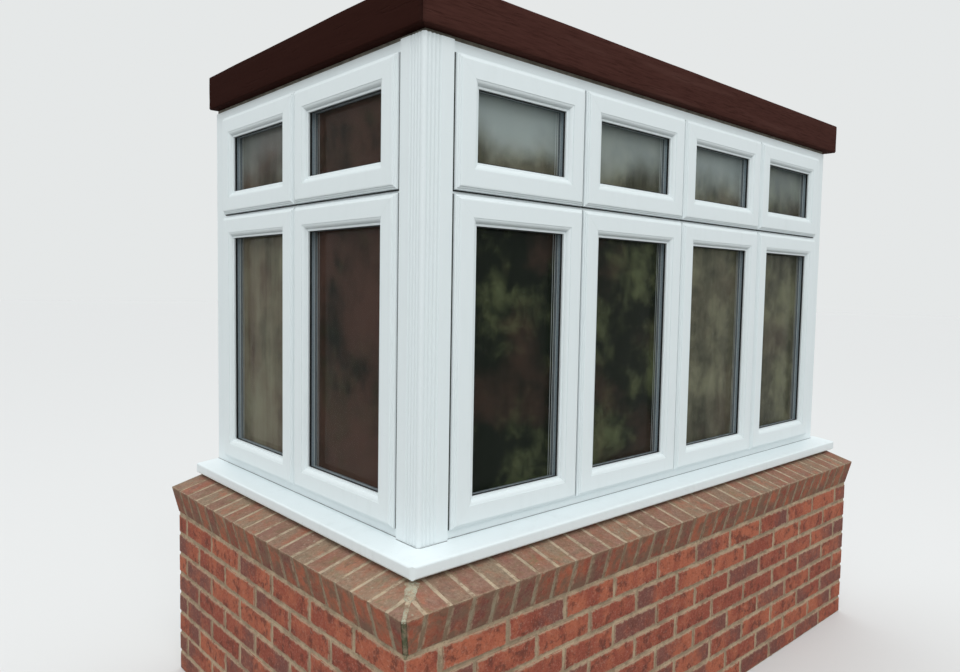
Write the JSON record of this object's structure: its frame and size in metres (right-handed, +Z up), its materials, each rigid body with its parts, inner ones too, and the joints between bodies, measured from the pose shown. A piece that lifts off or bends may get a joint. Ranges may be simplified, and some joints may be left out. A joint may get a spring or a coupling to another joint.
{
  "type": "corner casement window on a dwarf brick wall",
  "caption": "White corner casement window with fanlights over tall sashes, a fluted corner post, a cill and a timber head beam, on a dwarf brick wall with a sloping brick sill.",
  "frame": {"origin": "on the ground, under the middle of the outline seen from above", "axes": "+X along the front from the corner post to the free end, +Y along the return into the house, +Z up"},
  "size_m": [2.522, 1.447, 2.2139],
  "materials": {
    "red_brick": "matt",
    "sill_brick": "matt, weathered",
    "plaster": "matt paint",
    "insulation": "matt",
    "mortar": "rough",
    "white_upvc": "satin gloss",
    "glass": "clear",
    "spacer": "satin",
    "gasket": "matt",
    "sealant": "matt",
    "painted_timber": "worn dark red-brown paint",
    "white_board": "gloss",
    "white_handle": "gloss",
    "post_tube": "mill finish"
  },
  "bodies": {
    "root": {"casement_handles": "white_handle", "corner_post": "post_tube", "corner_post_cover": "white_upvc", "front_block_wall": "plaster", "front_brick_sill": "sill_brick", "front_brick_wall": "red_brick", "front_casement_1": "white_upvc", "front_casement_2": "white_upvc", "front_casement_3": "white_upvc", "front_casement_4": "white_upvc", "front_cavity_fill": "insulation", "front_cill": "white_upvc", "front_cill_bedding": "mortar", "front_fanlight_1": "white_upvc", "front_fanlight_2": "white_upvc", "front_fanlight_3": "white_upvc", "front_fanlight_4": "white_upvc", "front_frame": "white_upvc", "front_gaskets": "gasket", "front_glass_panes": "glass", "front_glazing_beads": "white_upvc", "front_head_beam": "painted_timber", "front_sash_seals": "gasket", "front_spacer_bars": "spacer", "front_window_board": "white_board", "head_seal": "sealant", "inner_corner_cover": "white_upvc", "left_block_wall": "plaster", "left_brick_sill": "sill_brick", "left_brick_wall": "red_brick", "left_casement_1": "white_upvc", "left_casement_2": "white_upvc", "left_cavity_fill": "insulation", "left_cill": "white_upvc", "left_cill_bedding": "mortar", "left_cill_end_cap": "white_upvc", "left_fanlight_1": "white_upvc", "left_fanlight_2": "white_upvc", "left_frame": "white_upvc", "left_gaskets": "gasket", "left_glass_panes": "glass", "left_glazing_beads": "white_upvc", "left_head_beam": "painted_timber", "left_sash_seals": "gasket", "left_spacer_bars": "spacer", "left_window_board": "white_board", "right_cill_end_cap": "white_upvc"}
  },
  "joints": []
}
